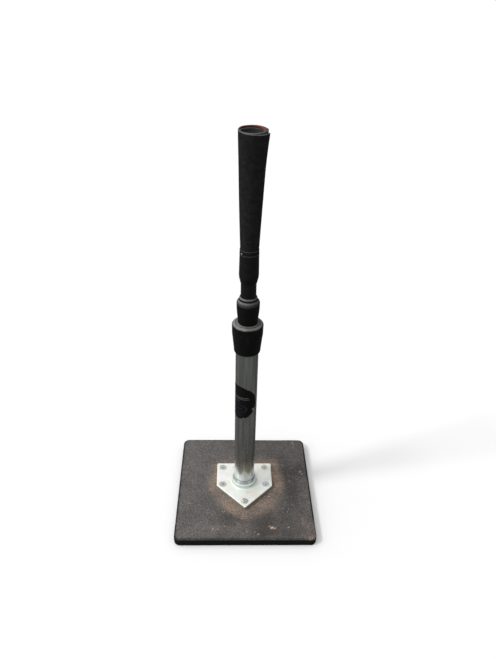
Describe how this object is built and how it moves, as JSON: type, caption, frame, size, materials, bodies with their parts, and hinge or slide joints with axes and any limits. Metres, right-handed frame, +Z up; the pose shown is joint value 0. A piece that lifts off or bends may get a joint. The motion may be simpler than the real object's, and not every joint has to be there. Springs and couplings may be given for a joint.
{
  "type": "batting tee",
  "caption": "Height-adjustable batting tee: square weighted rubber base, home-plate flange, telescoping stem with rubber friction collars and a rolled-rubber ball cup.",
  "frame": {"origin": "on the stem's axis, at the ground under the base", "axes": "+Z up along the stem, -Y towards the point of the home plate, +X to the right seen from the point's side"},
  "size_m": [0.254, 0.254, 0.685],
  "materials": {
    "base_rubber": "matt moulded rubber with a pebbled grain, dusty and clay-stained",
    "weight_steel": "mill finish",
    "flange_zinc": "satin cast metal with faint yellow staining",
    "bright_zinc": "bright zinc plate",
    "galvanised_tube": "dull dark grey, drawn, shinier at the foot",
    "label_film": "black printed film, worn at its edge",
    "collar_rubber": "smooth black moulded rubber, dusty on its shoulder",
    "nylon": "matt",
    "black_tube": "semi-matt black coating",
    "shrink_film": "matt black shrink tube",
    "cone_rubber": "matt black rolled sheet rubber"
  },
  "bodies": {
    "base": {"base_cover": "base_rubber", "base_pad": "base_rubber", "weight_plate": "weight_steel", "stem_flange": "flange_zinc", "flange_screw_1": "bright_zinc", "flange_screw_2": "bright_zinc", "flange_screw_3": "bright_zinc", "flange_screw_4": "bright_zinc", "flange_screw_5": "bright_zinc", "stem_ferrule": "bright_zinc", "lower_tube": "galvanised_tube", "stem_label": "label_film", "lower_collar": "collar_rubber", "lower_collar_liner": "nylon", "lower_friction_ring": "collar_rubber"},
    "middle_guide": {"middle_guide_bush": "nylon"},
    "middle_stage": {"middle_tube": "black_tube", "upper_collar": "collar_rubber", "upper_collar_liner": "nylon", "upper_friction_ring": "collar_rubber"},
    "upper_guide": {"upper_guide_bush": "nylon"},
    "upper_stage": {"upper_tube": "black_tube", "upper_tube_cap": "nylon", "cone_sleeve": "shrink_film", "cone_rivet": "bright_zinc", "ball_rest_cone": "cone_rubber"}
  },
  "joints": [
    {"name": "middle_slide", "type": "slide", "parent": "base", "child": "middle_guide", "axis": [0, 0, 1], "range_m": [0, 0.205]},
    {"name": "middle_turn", "type": "hinge", "parent": "middle_guide", "child": "middle_stage", "pos_m": [0, 0, 0.0465], "axis": [0, 0, 1], "continuous": true},
    {"name": "upper_slide", "type": "slide", "parent": "middle_stage", "child": "upper_guide", "axis": [0, 0, 1], "range_m": [-0.024, 0.205]},
    {"name": "upper_turn", "type": "hinge", "parent": "upper_guide", "child": "upper_stage", "pos_m": [0, 0, 0.108], "axis": [0, 0, 1], "continuous": true}
  ]
}
